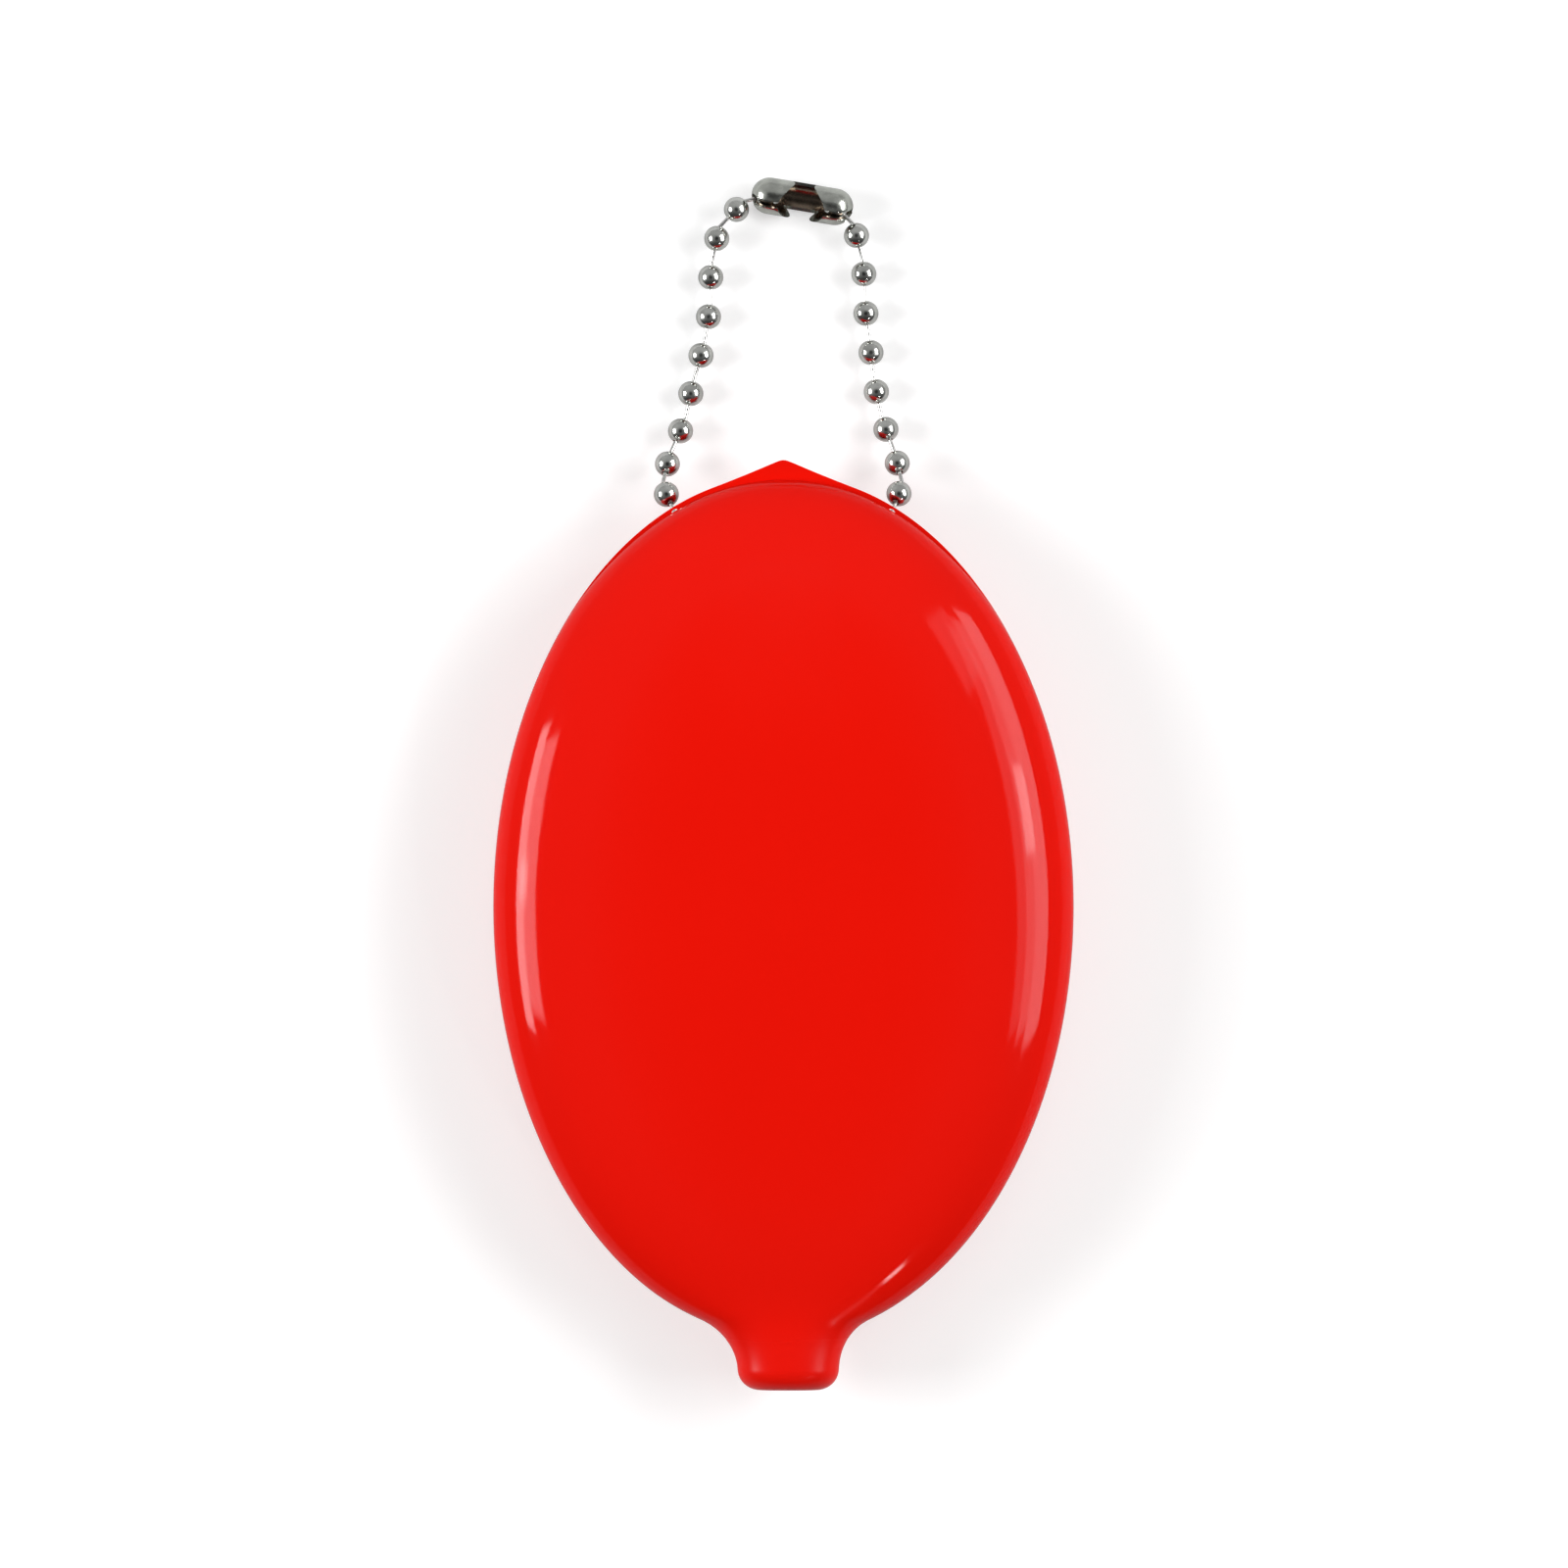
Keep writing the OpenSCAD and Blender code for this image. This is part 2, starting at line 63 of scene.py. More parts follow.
# Pouch, as the solids have it
HALF_W, HALF_L = 27.5, 40.9
FRONT_H, BACK_H, FLAT_CUT = 7.5, 7.9, 0.4
WALL, FULLNESS = 1.8, 2.3
PEAK_RISE, PEAK_T, PEAK_HOLLOW, TIP_ROUND, TIP_END = 1.75, 2.2, 1.15, 0.35, 0.02
FRONT_SHORT, SHORT_FROM, SHORT_OVER = 0.5, 24.0, 12.0
NECK_HALF_W, NECK_HALF_T, NECK_L, NECK_WALL = 4.8, 3.8, 4.9, 2.6
FLARE_HALF_W, RIM_ROUND, RIM_LAND, NECK_SHIFT, NECK_FROM = 8.0, 2.0, 0.5, 0.45, 30.0
SLIT_HALF_L, SLIT_GAP = 33.0, 0.1
LIP_W, LIP_END_W = 17.0, 8.0
BORE_HALF_W, BORE_HALF_T = NECK_HALF_W - NECK_WALL, NECK_HALF_T - NECK_WALL
PARTING_Z = BACK_H - FLAT_CUT
CAVITY_A, CAVITY_B = HALF_W - WALL, HALF_L - WALL
PEAK_Y, NECK_Y = HALF_L + PEAK_RISE, -HALF_L - NECK_L
HOLE_R, PUNCH_L = 1.5, 5.4
LIP_POWER, SHIFT_FROM, SHIFT_OVER = 2.5, -36.0, 8.0

# Ball chain
BEAD_R, BEAD_WALL, POLE_R = 1.2, 0.15, 0.3
PIN_R, HEAD_R, HEAD_DEPTH = 0.18, 0.33, 0.58
COUPLING_L, COUPLING_R, COUPLING_WALL = 9.8, 1.75, 0.28
SLOT_W, OUTLET_R, WINDOW_L, WINDOW_TURN = 0.7, 0.65, 4.6, math.radians(30)
WINDOW_PAST, CUT_REACH, SLOT_HALF_L = 0.2, 4.0, 7.0
BEADS, HOLE_BEADS = 26, ((11, -1), (17, 1))

# Width and middle of the photograph's frame at a height, and the lens over it, in metres
FRAME_W, FRAME_X, FRAME_Y, FRAME_Z = 0.1487, 0.00005, 0.0116, 0.006
CAMERA_Z, SENSOR_MM = 1.4, 36.0

# Fineness of the meshes: cells and rows of the pouch, and steps round and along what is turned
FRONT_CELLS, EDGE_CELLS, LIP_CELLS = 96, 16, 22
RIM_ROWS, FLARE_ROWS, SLIT_ROWS, TOP_ROWS = 11, 30, 81, 42
BEAD_STEPS, LINK_STEPS, DRILL_STEPS, TUBE_STEPS = 40, 20, 48, 64
BEAD_ARC, BEAD_INNER_ARC, HEAD_ARC, TUBE_ARC, TUBE_ROWS, WINDOW_ARC = 33, 17, 9, 17, 11, 33


# Camera
def aim_camera():
    """A long lens straight over the purse, with the photograph's frame."""
    lens = bpy.data.cameras.new("overhead_lens")
    lens.sensor_width = SENSOR_MM
    lens.lens = SENSOR_MM * (CAMERA_Z - FRAME_Z) / FRAME_W
    lens.clip_end = 10.0
    camera = bpy.data.objects.new("overhead_camera", lens)
    camera.location = (FRAME_X, FRAME_Y, CAMERA_Z)
    bpy.context.scene.collection.objects.link(camera)
    bpy.context.scene.camera = camera


aim_camera()


# Shape tools
def smooth(t):
    """Eases from 0 to 1: t squared times three less two t."""
    t = np.clip(t, 0.0, 1.0)
    return t * t * (3.0 - 2.0 * t)


def soft_max(a, b):
    """Sixth root of the sum of sixth powers: the larger of two sizes, blended where they meet."""
    return (a**6 + b**6) ** (1 / 6)


def dome(t):
    """Height of a dome over its half width: (1 - t^m)^(1/m), with m the fullness."""
    t = np.clip(np.abs(t), 0.0, 1.0)
    return (1.0 - t**FULLNESS) ** (1.0 / FULLNESS)


def oval(y, a, b):
    """Half width of an oval with half axes a and b: a times the root of 1 - (y/b)^2."""
    return a * np.sqrt(np.clip(1.0 - (y / b) ** 2, 0.0, None))


def flared(y, a, b, neck, flare):
    """Half width of the oval and of its neck, with an arc between them that is tangent to both."""
    leave = np.array([flare, -b * math.sqrt(1 - (flare / a) ** 2)])
    out = leave / np.array([a * a, b * b])
    out /= np.linalg.norm(out)
    r = (flare - neck) / (1 - out[0])
    mid = leave + r * out
    arc = neck + r - np.sqrt(np.clip(r * r - (y - mid[1]) ** 2, 0, None))
    return np.where(y > leave[1], oval(y, a, b), np.where(y > mid[1], arc, neck))


def peaked(y):
    """Half width of the back under its peak: the oval, then d^q tangent to it, where d is the way
    to the point, shortened near it to the root of d^2 - r^2 so that the tip is round."""
    q, b = PEAK_HOLLOW, HALF_L
    start = (math.sqrt(PEAK_Y**2 + 4 * (q - 1) * q * b * b) - PEAK_Y) / (2 * (q - 1))
    way = np.clip((PEAK_Y - y) ** 2 - TIP_ROUND**2, 0, None)
    left = np.sqrt(way / ((PEAK_Y - start) ** 2 - TIP_ROUND**2))
    return np.where(y < start, oval(y, HALF_W, b), oval(start, HALF_W, b) * left**q)


def rim(y, side, bore):
    """Quarter round from the neck's side to the narrow land around its bore."""
    t = np.clip((NECK_Y + RIM_ROUND - y) / RIM_ROUND, 0, 1)
    land = bore + RIM_LAND
    return land + (side - land) * np.sqrt(1 - t * t)


def outer_half_width(y):
    """Half width of the back: peaked towards the chain, flared and rounded at the neck."""
    neck = rim(y, flared(y, HALF_W, HALF_L, NECK_HALF_W, FLARE_HALF_W), BORE_HALF_W)
    return np.where(y > 0, peaked(y), neck)


def front_end(y):
    """Half length of the front dome, which stops short of the back's rim towards the peak."""
    return HALF_L - FRONT_SHORT * smooth((y - SHORT_FROM) / SHORT_OVER)


def front_half_width(y):
    """Half width of the front."""
    return np.where(y > 0, oval(y, HALF_W, front_end(y)), outer_half_width(y))


def neck_share(y):
    """Share of the neck's height, which grows from the middle of the oval."""
    return smooth(-y / NECK_FROM)


def neck_height(y, h):
    """Height of a dome that runs out into the neck."""
    neck = neck_share(y) * NECK_HALF_T
    return rim(y, soft_max(h * dome(np.minimum(y, 0) / HALF_L), neck), BORE_HALF_T)


def front_height(y):
    """Height of the front over the parting plane."""
    return np.where(y > 0, FRONT_H * dome(y / front_end(y)), neck_height(y, FRONT_H))


def back_height(y):
    """Depth of the back under the parting plane, with the peak's own thickness at its end."""
    peak = PEAK_T * (1 - np.clip((y - HALF_L) / PEAK_RISE, 0, 1) / 2)
    return np.where(y > 0, soft_max(BACK_H * dome(y / HALF_L), peak), neck_height(y, BACK_H))


def inner_half_width(y):
    """Half width of the cavity and of the bore that leaves it."""
    flare = flared(y, CAVITY_A, CAVITY_B, BORE_HALF_W, FLARE_HALF_W - NECK_WALL)
    return np.where(y > 0, oval(y, CAVITY_A, CAVITY_B), flare)


def inner_height(y, h):
    """Height of the cavity on one side of the parting plane."""
    c = (h - WALL) * dome(y / CAVITY_B)
    return np.where(y > 0, c, soft_max(c, neck_share(y) * BORE_HALF_T))


def neck_offset(y):
    """How far the neck is drawn to the right."""
    return NECK_SHIFT * smooth((SHIFT_FROM - y) / SHIFT_OVER)


def lip_half_width(y):
    """Half width of the two lips together, which narrows as a power of the way along the slit."""
    share = np.clip(np.abs(y) / SLIT_HALF_L, 0, 1)
    return LIP_W - (LIP_W - LIP_END_W) * share**LIP_POWER


SKINS = {
    "front": (front_half_width, front_height, 1),
    "back": (outer_half_width, back_height, -1),
    "inner_front": (inner_half_width, lambda y: inner_height(y, FRONT_H), 1),
    "inner_back": (inner_half_width, lambda y: inner_height(y, BACK_H), -1),
}


def on_skin(name, x, y):
    """Points of a skin over (x, y): above or under the parting plane by the skin's height times
    dome(x / half width)."""
    half_width, height, side = SKINS[name]
    w = np.maximum(half_width(y), 1e-6)
    z = PARTING_Z + side * height(y) * dome(x / w)
    if name == "back":
        z = np.maximum(z, 0.0)
    return np.stack([x + neck_offset(y), y, z], axis=-1)


def skin_normal(name, p):
    """Outward normal at points of a skin: the slope of (x/w)^m + (z/h)^m, by differences over a
    step of d. The back's flat faces down."""
    half_width, height, _ = SKINS[name]

    def level(x, y, z):
        """(x/w)^m + (z/h)^m, with x and z from the skin's own middle."""
        w, h = np.maximum(half_width(y), 1e-4), np.maximum(height(y), 1e-4)
        u, v = np.abs(x - neck_offset(y)) / w, np.abs(z - PARTING_Z) / h
        return u**FULLNESS + v**FULLNESS

    x, y, z = p[..., 0], p[..., 1], p[..., 2]
    d = 2e-3
    slope = np.stack(
        [
            level(x + d, y, z) - level(x - d, y, z),
            level(x, y + d, z) - level(x, y - d, z),
            level(x, y, z + d) - level(x, y, z - d),
        ],
        axis=-1,
    )
    slope /= np.maximum(np.linalg.norm(slope, axis=-1, keepdims=True), 1e-12)
    if name == "back":
        slope = np.where((z < 1e-6)[..., None], np.array([0.0, 0.0, -1.0]), slope)
    return -slope if name.startswith("inner") else slope


def make_object(name, points, faces, smooth_faces=True):
    """A mesh object at the origin from points in millimetres and lists of corners."""
    mesh = bpy.data.meshes.new(name)
    mesh.from_pydata((np.asarray(points) * MM).tolist(), [], faces)
    mesh.polygons.foreach_set("use_smooth", np.full(len(mesh.polygons), smooth_faces))
    mesh.update()
    piece = bpy.data.objects.new(name, mesh)
    bpy.context.scene.collection.objects.link(piece)
    return piece


def grid_faces(rows, columns, first=0, wrap=False, keep=None):
    """Corners of the cells of a grid stored row by row. wrap joins the last column to the first,
    and keep masks cells."""
    i, j = np.meshgrid(np.arange(rows - 1), np.arange(columns - (not wrap)), indexing="ij")
    k = (j + 1) % columns
    a, b = i * columns + j, i * columns + k
    quads = np.stack([a, b, b + columns, a + columns], axis=-1) + first
    return quads[keep] if keep is not None else quads.reshape(-1, 4)


# Pouch
def stations(end, dome_end):
    """Places along the pouch, close together on the neck's rim, at the top and where the dome ends,
    and how many of them come before the slit."""
    round_part = NECK_Y + RIM_ROUND * (1 - np.cos(np.linspace(0, math.pi / 2, RIM_ROWS)))
    flare_part = np.linspace(round_part[-1], -SLIT_HALF_L, FLARE_ROWS + 2)[1:-1]
    slit_part = np.linspace(-SLIT_HALF_L, SLIT_HALF_L, SLIT_ROWS)
    turn = np.linspace(0, math.pi / 2, TOP_ROWS + 1)[1:]
    top_part = SLIT_HALF_L + (end - SLIT_HALF_L) * np.sin(turn)
    before_end = np.array([0.30, 0.12, 0.03, 0.0])
    top_part = np.sort(np.concatenate([top_part, dome_end - before_end]))
    return np.concatenate([round_part, flare_part, slit_part, top_part]), RIM_ROWS + FLARE_ROWS


def slit_x(z):
    """Half width of the slit at a height: no point of a lip's edge comes nearer to the middle than
    half the gap as it swings round the line that the lip bends about."""
    hinge_z = PARTING_Z - BACK_H * dome(LIP_W / HALF_W)
    return LIP_W - np.sqrt((LIP_W - SLIT_GAP / 2) ** 2 - np.maximum(0, z - hinge_z) ** 2)


def back_places(w, edge, slit=SLIT_GAP / 2):
    """Places across the back at one half width: even turns to the lip's edge, then to the slit."""
    a = np.arccos(np.clip(edge / w, 0, 1))
    b = np.arccos(np.clip(slit / w, 0, 1))
    outer_part = a[:, None] * np.linspace(0, 1, EDGE_CELLS + 1)[:-1]
    lip_part = a[:, None] + (b - a)[:, None] * np.linspace(0, 1, LIP_CELLS + 1)
    left = -w[:, None] * np.cos(np.concatenate([outer_part, lip_part], axis=1))
    return np.concatenate([left, -left[:, ::-1]], axis=1)


def front_places(w, foot):
    """Places across the front, from right to left: the rim, then even turns over the dome from its
    foot, which is a little way in where there is no ledge outside it."""
    step = math.pi / FRONT_CELLS
    start = np.clip(step - np.arccos(np.clip(foot / w, 0, 1)), 0, None)[:, None]
    turn = start + (math.pi - 2 * start) * np.linspace(0, 1, FRONT_CELLS - 1)
    return np.concatenate([w[:, None], foot[:, None] * np.cos(turn)], axis=1)


def rings(y, front, back):
    """Closed rings round the pouch at each y: the front from right to left, the back the other way.
    Past the dome's end the front's cells keep a least share of the width, and past the slit's ends
    the back's edge cells keep a share of it."""
    least_foot, edge_share = 0.3, 0.6
    w = np.maximum(SKINS[back][0](y), 1e-6)
    foot = np.maximum(SKINS[front][0](y), least_foot * w)
    over = on_skin(front, front_places(w, foot), np.repeat(y[:, None], FRONT_CELLS, axis=1))
    beyond = np.minimum(LIP_END_W, edge_share * w)
    edge = np.where(np.abs(y) <= SLIT_HALF_L + 1e-9, lip_half_width(y), beyond)
    x = back_places(w, edge)[:, :-1]
    under = on_skin(back, x, np.repeat(y[:, None], x.shape[1], axis=1))
    return np.concatenate([over, under], axis=1)


def make_shell():
    """The pouch without its lips: an outer and an inner skin of rings, joined round the bore and
    the window that the lips fill. Both skins have as many rows."""
    last_row, close_rows = 0.01, 0.2
    outer_y, first = stations(PEAK_Y - TIP_ROUND - TIP_END, HALF_L - FRONT_SHORT)
    inner_y, _ = stations(CAVITY_B - last_row, CAVITY_B - close_rows)
    outer_rings = rings(outer_y, "front", "back")
    inner_rings = rings(inner_y, "inner_front", "inner_back")
    n, m = outer_rings.shape[:2]
    i1, i2 = first, first + SLIT_ROWS - 1
    j1, j2 = FRONT_CELLS + EDGE_CELLS, m - EDGE_CELLS
    keep = np.ones((n - 1, m), bool)
    keep[i1:i2, j1:j2] = False
    count = n * m
    points = np.concatenate([outer_rings.reshape(-1, 3), inner_rings.reshape(-1, 3)])
    outer = grid_faces(n, m, wrap=True, keep=keep)
    inner = grid_faces(n, m, first=count, wrap=True, keep=keep)[:, ::-1]
    j = np.arange(m)
    k = (j + 1) % m
    bore = np.stack([k, j, j + count, k + count], axis=-1)

    def wall(a, b):
        """Quads between the outer and the inner skin along an edge of the window."""
        return np.stack([a, b, b + count, a + count], axis=-1)

    across, along = np.arange(j1, j2), np.arange(i1, i2) * m
    walls = np.concatenate(
        [
            wall(i1 * m + across + 1, i1 * m + across)[:, ::-1],
            wall(i2 * m + across, i2 * m + across + 1)[:, ::-1],
            wall(along + j1, along + m + j1)[:, ::-1],
            wall(along + m + j2, along + j2)[:, ::-1],
        ]
    )
    faces = np.concatenate([outer, inner, bore, walls])
    outer_tip = [0, outer_y[-1] + TIP_END, outer_rings[-1, :, 2].mean()]
    inner_tip = [0, inner_y[-1], PARTING_Z]
    tip, last = 2 * count, (n - 1) * m
    caps = np.concatenate(
        [
            np.stack([last + j, last + k, np.full(m, tip)], axis=-1),
            np.stack([count + last + k, count + last + j, np.full(m, tip + 1)], axis=-1),
        ]
    )
    corners = faces[:, ::-1].tolist() + caps[:, ::-1].tolist()
    return np.concatenate([points, [outer_tip, inner_tip]]), corners


def make_lip_mesh(side):
    """One lip: the window's cells on its side of the slit, outer skin, inner skin and edges."""
    y = np.linspace(-SLIT_HALF_L, SLIT_HALF_L, SLIT_ROWS)
    skins = []
    for name in ("back", "inner_back"):
        w = SKINS[name][0](y)
        slit = slit_x(on_skin(name, 0 * y, y)[:, 2])
        x = back_places(w, lip_half_width(y), slit)[:, EDGE_CELLS : EDGE_CELLS + LIP_CELLS + 1]
        x = x if side < 0 else -x[:, ::-1]
        skins.append(on_skin(name, x, np.repeat(y[:, None], x.shape[1], axis=1)))
    rows, columns = skins[0].shape[:2]
    count = rows * columns
    points = np.concatenate([s.reshape(-1, 3) for s in skins])
    edge = np.concatenate(
        [
            np.arange(columns),
            np.arange(1, rows) * columns + columns - 1,
            (rows - 1) * columns + np.arange(columns - 2, -1, -1),
            np.arange(rows - 2, 0, -1) * columns,
        ]
    )
    after = np.roll(edge, -1)
    faces = np.concatenate(
        [
            grid_faces(rows, columns),
            grid_faces(rows, columns, first=count)[:, ::-1],
            np.stack([after, edge, edge + count, after + count], axis=-1),
        ]
    )
    return points, faces[:, ::-1].tolist()


def values_of(items, attribute, width=1, kind=float):
    """One attribute of a mesh's vertices, corners or faces as an array."""
    values = np.empty(len(items) * width, kind)
    items.foreach_get(attribute, values)
    return values.reshape(-1, width) if width > 1 else values


def corners_of(mesh):
    """Vertices in millimetres, and the vertex and the face of each corner."""
    total = values_of(mesh.polygons, "loop_total", kind=int)
    face = np.repeat(np.arange(len(total)), total)
    vertex = values_of(mesh.loops, "vertex_index", kind=int)
    return values_of(mesh.vertices, "co", 3) / MM, vertex, face


def skin_of_faces(mesh):
    """The skin that each face lies on, told by how far its corners are from the skins' formulas.
    The ledge beside the front, whose corners all lie in the parting plane, is on none."""
    near, level_near, flat = 0.02, 0.02, 1e-4
    co, vertex, face = corners_of(mesh)
    names = np.full(len(mesh.polygons), "", dtype="<U12")
    x, y, rise = co[:, 0] - neck_offset(co[:, 1]), co[:, 1], co[:, 2] - PARTING_Z
    for name, (half_width, height, side) in SKINS.items():
        far = np.linalg.norm(on_skin(name, x, y) - co, axis=1)
        w, h = np.maximum(half_width(y), 1e-4), np.maximum(height(y), 1e-4)
        level = (np.abs(x) / w) ** FULLNESS + (np.abs(rise) / h) ** FULLNESS - 1
        good = ((far < near) | (np.abs(level) < level_near)) & (side * rise > -flat)
        bad = np.bincount(face, weights=~good[vertex], minlength=len(names))
        names[(bad == 0) & (names == "")] = name
    raised = np.abs(rise) > flat
    names[np.bincount(face, weights=raised[vertex], minlength=len(names)) == 0] = ""
    return names


def set_normals(piece):
    """Gives the corners of each skin's faces that skin's own normals; other faces stay flat."""
    mesh = piece.data
    co, vertex, face = corners_of(mesh)
    normals, skins = values_of(mesh.polygons, "normal", 3)[face], skin_of_faces(mesh)[face]
    for name in SKINS:
        picked = skins == name
        if picked.any():
            normals[picked] = skin_normal(name, co[vertex[picked]])
    mesh.normals_split_custom_set(normals.tolist())


def apply_modifiers(piece):
    """Replaces the mesh by what its modifiers make of it."""
    depsgraph = bpy.context.evaluated_depsgraph_get()
    mesh = bpy.data.meshes.new_from_object(piece.evaluated_get(depsgraph))
    piece.modifiers.clear()
    piece.data = mesh


def cut(piece, cutters):
    """Takes the cutters out of the piece."""
    for cutter in cutters:
        knife = piece.modifiers.new("cut", "BOOLEAN")
        knife.object, knife.operation, knife.solver = cutter, "DIFFERENCE", "EXACT"
    apply_modifiers(piece)
    for cutter in cutters:
        bpy.data.objects.remove(cutter)


def frame_of(way):
    """Two unit vectors square to way and to each other."""
    way = np.asarray(way) / np.linalg.norm(way)
    side = np.cross(way, [0.0, 0.0, 1.0] if abs(way[2]) < 0.9 else [1.0, 0.0, 0.0])
    side /= np.linalg.norm(side)
    return side, np.cross(way, side)


def turned(profile, at, way, steps):
    """Points of a profile of (radius, height) turned about the line from at along way."""
    way = np.asarray(way) / np.linalg.norm(way)
    u, v = frame_of(way)
    a = np.linspace(0, 2 * math.pi, steps, endpoint=False)
    ring = np.cos(a)[:, None] * u + np.sin(a)[:, None] * v
    return (
        np.asarray(at)
        + profile[:, None, 1, None] * way
        + profile[:, None, 0, None] * ring[None]
    )


def make_turned(name, profile, at, way, steps, closed=False):
    """A turned piece. A closed profile is a ring; an open one starts and ends on its axis."""
    points = turned(profile, at, way, steps)
    rows = len(profile)
    if closed:
        i, j = np.meshgrid(np.arange(rows), np.arange(steps), indexing="ij")
        i2, j2 = (i + 1) % rows, (j + 1) % steps
        faces = np.stack([i * steps + j, i * steps + j2, i2 * steps + j2, i2 * steps + j], -1)
        return make_object(name, points.reshape(-1, 3), faces.reshape(-1, 4).tolist())
    way = np.asarray(way) / np.linalg.norm(way)
    ends = np.asarray(at) + profile[[0, -1], 1, None] * way
    body = points[1:-1].reshape(-1, 3)
    count = len(body)
    j = np.arange(steps)
    k = (j + 1) % steps
    last = (rows - 3) * steps
    faces = grid_faces(rows - 2, steps, wrap=True).tolist()
    faces += np.stack([k, j, np.full(steps, count)], -1).tolist()
    faces += np.stack([last + j, last + k, np.full(steps, count + 1)], -1).tolist()
    return make_object(name, np.concatenate([body, ends]), faces)


def drill(at, way, radius, depth):
    """A round cutter from at along way."""
    profile = np.array([[0, 0], [radius, 0], [radius, depth], [0, depth]], float)
    return make_turned("drill", profile, at, way, DRILL_STEPS)


# Reading the chain
def bead_centre(k):
    """Middle of a bead's box."""
    low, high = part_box(f"bead_{k:02d}")
    return (np.array(low) + np.array(high)) / 2 / MM


def link_heads(k):
    """Centres of a link's two heads, the one in bead k first: balls fitted to the points within a
    head's radius of its ends, taken again as the way between them settles."""
    points = values_of(frame["nodes"][f"link_{k:02d}"].data.vertices, "co", 3) / MM
    near, far = bead_centre(k), bead_centre(k + 1)
    way = (far - near) / np.linalg.norm(far - near)
    for _ in range(4):
        t = points @ way
        low = points[t < t.min() + HEAD_R]
        high = points[t > t.max() - HEAD_R]
        a, b = ball_centre(low), ball_centre(high)
        way = (b - a) / np.linalg.norm(b - a)
    return a, b


def ball_centre(points):
    """Least-squares centre of a ball from points of its surface."""
    middle = points.mean(axis=0)
    q = points - middle
    rows = np.concatenate([2 * q, np.ones((len(q), 1))], axis=1)
    found = np.linalg.lstsq(rows, (q**2).sum(axis=1), rcond=None)[0]
    return middle + found[:3]


centres = {k: bead_centre(k) for k in range(1, BEADS + 1)}
heads = {k: link_heads(k) for k in range(1, BEADS)}
ways = {k: (b - a) / np.linalg.norm(b - a) for k, (a, b) in heads.items()}
bodies = frame["record"]["behaviour"]["bodies"]
body_of_node = {node: body for body, nodes in bodies.items() for node in nodes}


# Materials
def new_material(name):
    """A node material with its Principled shader."""
    material = bpy.data.materials.new(name)
    material.use_nodes = True
    nodes, links = material.node_tree.nodes, material.node_tree.links
    return material, nodes, links, nodes["Principled BSDF"]


def noise(nodes, links, scale, detail):
    """Strength of a noise on Object coordinates."""
    where = nodes.new("ShaderNodeTexCoord")
    texture = nodes.new("ShaderNodeTexNoise")
    texture.inputs["Scale"].default_value = scale
    texture.inputs["Detail"].default_value = detail
    links.new(where.outputs["Object"], texture.inputs["Vector"])
    return texture.outputs["Fac"]


def ramp(nodes, links, source, low, high, at=(0.0, 1.0)):
    """Maps a value from the range at onto the range low to high."""
    spread = nodes.new("ShaderNodeMapRange")
    spread.inputs["From Min"].default_value, spread.inputs["From Max"].default_value = at
    spread.inputs["To Min"].default_value, spread.inputs["To Max"].default_value = low, high
    links.new(source, spread.inputs["Value"])
    return spread.outputs["Result"]


def bump(nodes, links, heights, distance):
    """Bump at full strength from a height socket."""
    node = nodes.new("ShaderNodeBump")
    node.inputs["Distance"].default_value = distance
    node.inputs["Strength"].default_value = 1.0
    links.new(heights, node.inputs["Height"])
    return node.outputs["Normal"]


def vinyl_material():
    """Glossy red vinyl: a trace of shade and haze that vary, a faint ripple from the mould, and a
    neck rubbed matt."""
    matt_y, gloss_y = -0.042, -0.036
    material, nodes, links, shader = new_material("red_vinyl")
    colours = nodes.new("ShaderNodeValToRGB")
    colours.color_ramp.elements[0].color = (0.77, 0.0056, 0.0017, 1)
    colours.color_ramp.elements[1].color = (0.81, 0.0066, 0.0021, 1)
    links.new(noise(nodes, links, 40.0, 3.0), colours.inputs["Fac"])
    links.new(colours.outputs["Color"], shader.inputs["Base Color"])
    where = nodes.new("ShaderNodeTexCoord")
    split = nodes.new("ShaderNodeSeparateXYZ")
    links.new(where.outputs["Object"], split.inputs["Vector"])
    haze = ramp(nodes, links, noise(nodes, links, 120.0, 5.0), 0.055, 0.085, (0.3, 0.7))
    rubbed = ramp(nodes, links, split.outputs["Y"], 0.25, 0.0, (matt_y, gloss_y))
    roughness = nodes.new("ShaderNodeMath")
    links.new(haze, roughness.inputs[0])
    links.new(rubbed, roughness.inputs[1])
    links.new(roughness.outputs[0], shader.inputs["Roughness"])
    ripple = noise(nodes, links, 110.0, 2.0)
    links.new(bump(nodes, links, ripple, 0.00001), shader.inputs["Normal"])
    shader.inputs["Specular IOR Level"].default_value = 0.12
    return material


def steel_material(name, low, high, colour, grain):
    """Nickel-plated steel, its roughness from low to high: bright, with a little haze and wear that
    vary over the surface, and scratches as fine as the grain."""
    worn = 0.72
    material, nodes, links, shader = new_material(name)
    shader.inputs["Metallic"].default_value = 1.0
    wear = noise(nodes, links, 900.0, 4.0)
    colours = nodes.new("ShaderNodeValToRGB")
    colours.color_ramp.elements[0].position = 0.3
    colours.color_ramp.elements[0].color = (*[c * worn for c in colour], 1)
    colours.color_ramp.elements[1].position = 0.6
    colours.color_ramp.elements[1].color = (*colour, 1)
    links.new(wear, colours.inputs["Fac"])
    links.new(colours.outputs["Color"], shader.inputs["Base Color"])
    links.new(ramp(nodes, links, wear, low, high, (0.3, 0.7)), shader.inputs["Roughness"])
    scratches = noise(nodes, links, grain, 3.0)
    links.new(bump(nodes, links, scratches, 0.000012), shader.inputs["Normal"])
    return material


